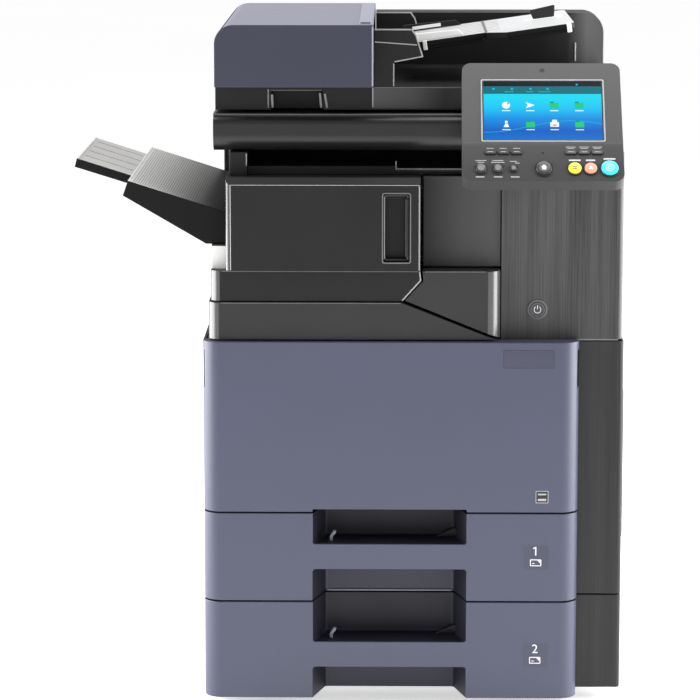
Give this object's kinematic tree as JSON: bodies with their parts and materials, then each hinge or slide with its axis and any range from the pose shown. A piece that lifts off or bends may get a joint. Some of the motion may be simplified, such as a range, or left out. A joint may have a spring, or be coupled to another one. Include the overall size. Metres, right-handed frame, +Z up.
{
  "type": "photocopier",
  "caption": "Floor-standing colour photocopier with paper drawers, side finisher tray, flatbed scanner with document feeder and a tilting touch panel.",
  "frame": {"origin": "on the floor, under the middle of the whole machine's box, the left output tray included", "axes": "+X to the operator's right, -Y towards the operator (front), +Z up"},
  "size_m": [0.742, 0.58, 0.9152],
  "materials": {
    "blue_plastic": "satin moulded plastic, muted blue grey",
    "dark_plastic": "satin moulded plastic, charcoal",
    "brushed_dark": "charcoal plastic with a fine vertical brushed pattern",
    "band_plastic": "charcoal plastic, finely brushed",
    "strip_plastic": "satin grey plastic",
    "panel_plastic": "fine textured grey plastic",
    "light_plastic": "fine textured light grey plastic",
    "tray_plastic": "textured mid grey plastic",
    "steel": "galvanised sheet steel",
    "glass": "clear float glass",
    "rubber": "black rubber",
    "screen": null,
    "key_grey": "glossy grey key",
    "key_dark": "glossy dark key",
    "key_yellow": "glossy yellow key",
    "key_red": "glossy salmon key",
    "key_cyan": "glossy cyan key",
    "unit_black": "black moulded unit",
    "drive_metal": "die-cast motor and boxed electronics"
  },
  "bodies": {
    "machine": {"leveling_feet": "rubber", "feeder_frame": "steel", "feeder_right_cover": "band_plastic", "main_frame": "steel", "left_cover": "dark_plastic", "rear_cover": "dark_plastic", "right_column_cover": "band_plastic", "upper_right_panel": "brushed_dark", "inner_front_panel": "dark_plastic", "corner_panel": "dark_plastic", "strip_cover": "strip_plastic", "finisher_housing": "dark_plastic", "stapler_unit": "unit_black", "output_tray": "tray_plastic", "toner_cartridges": "unit_black", "imaging_units": "unit_black", "fuser_unit": "unit_black", "drive_and_power": "drive_metal", "power_inlet": "unit_black", "scanner_housing": "dark_plastic", "platen_glass": "glass", "panel_arm": "dark_plastic"},
    "cassette_1": {"cassette_1_front": "blue_plastic", "cassette_1_tray": "tray_plastic"},
    "cassette_1_lift_plate": {"cassette_1_lift_plate": "steel"},
    "cassette_1_front_guide": {"cassette_1_front_guide": "dark_plastic"},
    "cassette_1_rear_guide": {"cassette_1_rear_guide": "dark_plastic"},
    "cassette_2": {"cassette_2_front": "blue_plastic", "cassette_2_tray": "tray_plastic"},
    "cassette_2_lift_plate": {"cassette_2_lift_plate": "steel"},
    "cassette_2_front_guide": {"cassette_2_front_guide": "dark_plastic"},
    "cassette_2_rear_guide": {"cassette_2_rear_guide": "dark_plastic"},
    "front_cover": {"front_cover": "blue_plastic"},
    "right_door": {"right_door": "band_plastic"},
    "bypass_tray": {"bypass_tray": "dark_plastic"},
    "finisher_door": {"finisher_door": "dark_plastic"},
    "tray_extension": {"tray_extension": "tray_plastic"},
    "scan_carriage": {"scan_carriage": "unit_black"},
    "document_feeder": {"df_base": "dark_plastic"},
    "feeder_cover": {"df_cover": "blue_plastic"},
    "document_tray": {"document_tray": "light_plastic"},
    "document_guide_front": {"document_guide_front": "dark_plastic"},
    "document_guide_rear": {"document_guide_rear": "dark_plastic"},
    "document_stopper": {"document_stopper": "unit_black"},
    "operation_panel": {"panel_housing": "panel_plastic", "touch_screen": "screen"},
    "key_status": {"key_status": "key_grey"},
    "key_program": {"key_program": "key_grey"},
    "key_counter": {"key_counter": "key_grey"},
    "key_home": {"key_home": "key_dark"},
    "key_reset": {"key_reset": "key_yellow"},
    "key_stop": {"key_stop": "key_red"},
    "key_start": {"key_start": "key_cyan"},
    "key_copy": {"key_copy": "key_dark"},
    "key_send": {"key_send": "key_dark"},
    "key_box": {"key_box": "key_dark"},
    "key_interrupt": {"key_interrupt": "key_dark"},
    "key_saver": {"key_saver": "key_dark"},
    "key_login": {"key_login": "key_dark"},
    "power_key": {"power_key": "key_dark"}
  },
  "joints": [
    {"name": "cassette_1_slide", "type": "slide", "parent": "machine", "child": "cassette_1", "axis": [0, -1, 0], "range_m": [0, 0.34]},
    {"name": "cassette_1_lift", "type": "hinge", "parent": "cassette_1", "child": "cassette_1_lift_plate", "pos_m": [0.061, 0.033, 0.1586], "axis": [0, -1, 0], "range_deg": [0, 10]},
    {"name": "cassette_1_guide", "type": "slide", "parent": "cassette_1", "child": "cassette_1_front_guide", "axis": [0, 1, 0], "range_m": [0, 0.034]},
    {"name": "cassette_1_guide_follow", "type": "slide", "parent": "cassette_1", "child": "cassette_1_rear_guide", "axis": [0, 1, 0], "range_m": [-0.034, 0]},
    {"name": "cassette_2_slide", "type": "slide", "parent": "machine", "child": "cassette_2", "axis": [0, -1, 0], "range_m": [0, 0.34]},
    {"name": "cassette_2_lift", "type": "hinge", "parent": "cassette_2", "child": "cassette_2_lift_plate", "pos_m": [0.061, 0.033, 0.0306], "axis": [0, -1, 0], "range_deg": [0, 10]},
    {"name": "cassette_2_guide", "type": "slide", "parent": "cassette_2", "child": "cassette_2_front_guide", "axis": [0, 1, 0], "range_m": [0, 0.034]},
    {"name": "cassette_2_guide_follow", "type": "slide", "parent": "cassette_2", "child": "cassette_2_rear_guide", "axis": [0, 1, 0], "range_m": [-0.034, 0]},
    {"name": "front_cover_hinge", "type": "hinge", "parent": "machine", "child": "front_cover", "pos_m": [0.0535, -0.2135, 0.2665], "axis": [1, 0, 0], "range_deg": [0, 85]},
    {"name": "right_door_hinge", "type": "hinge", "parent": "machine", "child": "right_door", "pos_m": [0.361, 0.04, 0.177], "axis": [0, 1, 0], "range_deg": [0, 70]},
    {"name": "bypass_tray_hinge", "type": "hinge", "parent": "right_door", "child": "bypass_tray", "pos_m": [0.3662, 0.065, 0.209], "axis": [0, 1, 0], "range_deg": [0, 45]},
    {"name": "finisher_door_hinge", "type": "hinge", "parent": "machine", "child": "finisher_door", "pos_m": [-0.157, -0.197, 0.646], "axis": [0, 0, -1], "range_deg": [0, 95]},
    {"name": "extension_slide", "type": "slide", "parent": "machine", "child": "tray_extension", "axis": [0.953, 0, -0.3029], "range_m": [0, 0.055]},
    {"name": "carriage_slide", "type": "slide", "parent": "machine", "child": "scan_carriage", "axis": [1, 0, 0], "range_m": [0, 0.36]},
    {"name": "feeder_lift", "type": "hinge", "parent": "machine", "child": "document_feeder", "pos_m": [0.057, 0.277, 0.793], "axis": [-1, 0, 0], "range_deg": [0, 70]},
    {"name": "feeder_cover_hinge", "type": "hinge", "parent": "document_feeder", "child": "feeder_cover", "pos_m": [-0.1755, 0.037, 0.8255], "axis": [0, -1, 0], "range_deg": [0, 75]},
    {"name": "document_tray_hinge", "type": "hinge", "parent": "document_feeder", "child": "document_tray", "pos_m": [0.0655, 0.0575, 0.866], "axis": [0, -1, 0], "range_deg": [0, 50]},
    {"name": "document_guide", "type": "slide", "parent": "document_tray", "child": "document_guide_front", "axis": [0, 1, 0], "range_m": [0, 0.05]},
    {"name": "document_guide_follow", "type": "slide", "parent": "document_tray", "child": "document_guide_rear", "axis": [0, 1, 0], "range_m": [-0.05, 0]},
    {"name": "stopper_flip", "type": "hinge", "parent": "document_tray", "child": "document_stopper", "pos_m": [0.25893, 0.0675, 0.8977], "axis": [-0.99, 0, -0.1409], "range_deg": [0, 85]},
    {"name": "panel_tilt", "type": "hinge", "parent": "machine", "child": "operation_panel", "pos_m": [0.24775, -0.229, 0.727], "axis": [1, 0, 0], "range_deg": [0, 30]},
    {"name": "key_status_press", "type": "slide", "parent": "operation_panel", "child": "key_status", "axis": [0, 0.766, -0.6428], "range_m": [0, 0.0015], "stiffness_N_per_m": 500},
    {"name": "key_program_press", "type": "slide", "parent": "operation_panel", "child": "key_program", "axis": [0, 0.766, -0.6428], "range_m": [0, 0.0015], "stiffness_N_per_m": 500},
    {"name": "key_counter_press", "type": "slide", "parent": "operation_panel", "child": "key_counter", "axis": [0, 0.766, -0.6428], "range_m": [0, 0.0015], "stiffness_N_per_m": 500},
    {"name": "key_home_press", "type": "slide", "parent": "operation_panel", "child": "key_home", "axis": [0, 0.766, -0.6428], "range_m": [0, 0.0015], "stiffness_N_per_m": 500},
    {"name": "key_reset_press", "type": "slide", "parent": "operation_panel", "child": "key_reset", "axis": [0, 0.766, -0.6428], "range_m": [0, 0.0015], "stiffness_N_per_m": 500},
    {"name": "key_stop_press", "type": "slide", "parent": "operation_panel", "child": "key_stop", "axis": [0, 0.766, -0.6428], "range_m": [0, 0.0015], "stiffness_N_per_m": 500},
    {"name": "key_start_press", "type": "slide", "parent": "operation_panel", "child": "key_start", "axis": [0, 0.766, -0.6428], "range_m": [0, 0.0015], "stiffness_N_per_m": 500},
    {"name": "key_copy_press", "type": "slide", "parent": "operation_panel", "child": "key_copy", "axis": [0, 0.766, -0.6428], "range_m": [0, 0.0015], "stiffness_N_per_m": 500},
    {"name": "key_send_press", "type": "slide", "parent": "operation_panel", "child": "key_send", "axis": [0, 0.766, -0.6428], "range_m": [0, 0.0015], "stiffness_N_per_m": 500},
    {"name": "key_box_press", "type": "slide", "parent": "operation_panel", "child": "key_box", "axis": [0, 0.766, -0.6428], "range_m": [0, 0.0015], "stiffness_N_per_m": 500},
    {"name": "key_interrupt_press", "type": "slide", "parent": "operation_panel", "child": "key_interrupt", "axis": [0, 0.766, -0.6428], "range_m": [0, 0.0015], "stiffness_N_per_m": 500},
    {"name": "key_saver_press", "type": "slide", "parent": "operation_panel", "child": "key_saver", "axis": [0, 0.766, -0.6428], "range_m": [0, 0.0015], "stiffness_N_per_m": 500},
    {"name": "key_login_press", "type": "slide", "parent": "operation_panel", "child": "key_login", "axis": [0, 0.766, -0.6428], "range_m": [0, 0.0015], "stiffness_N_per_m": 500},
    {"name": "power_key_press", "type": "slide", "parent": "machine", "child": "power_key", "axis": [0, 1, 0], "range_m": [0, 0.0015], "stiffness_N_per_m": 500}
  ],
  "couplings": [
    {"joint": "cassette_1_guide_follow", "follows": "cassette_1_guide", "ratio": -1},
    {"joint": "cassette_2_guide_follow", "follows": "cassette_2_guide", "ratio": -1},
    {"joint": "document_guide_follow", "follows": "document_guide", "ratio": -1}
  ]
}
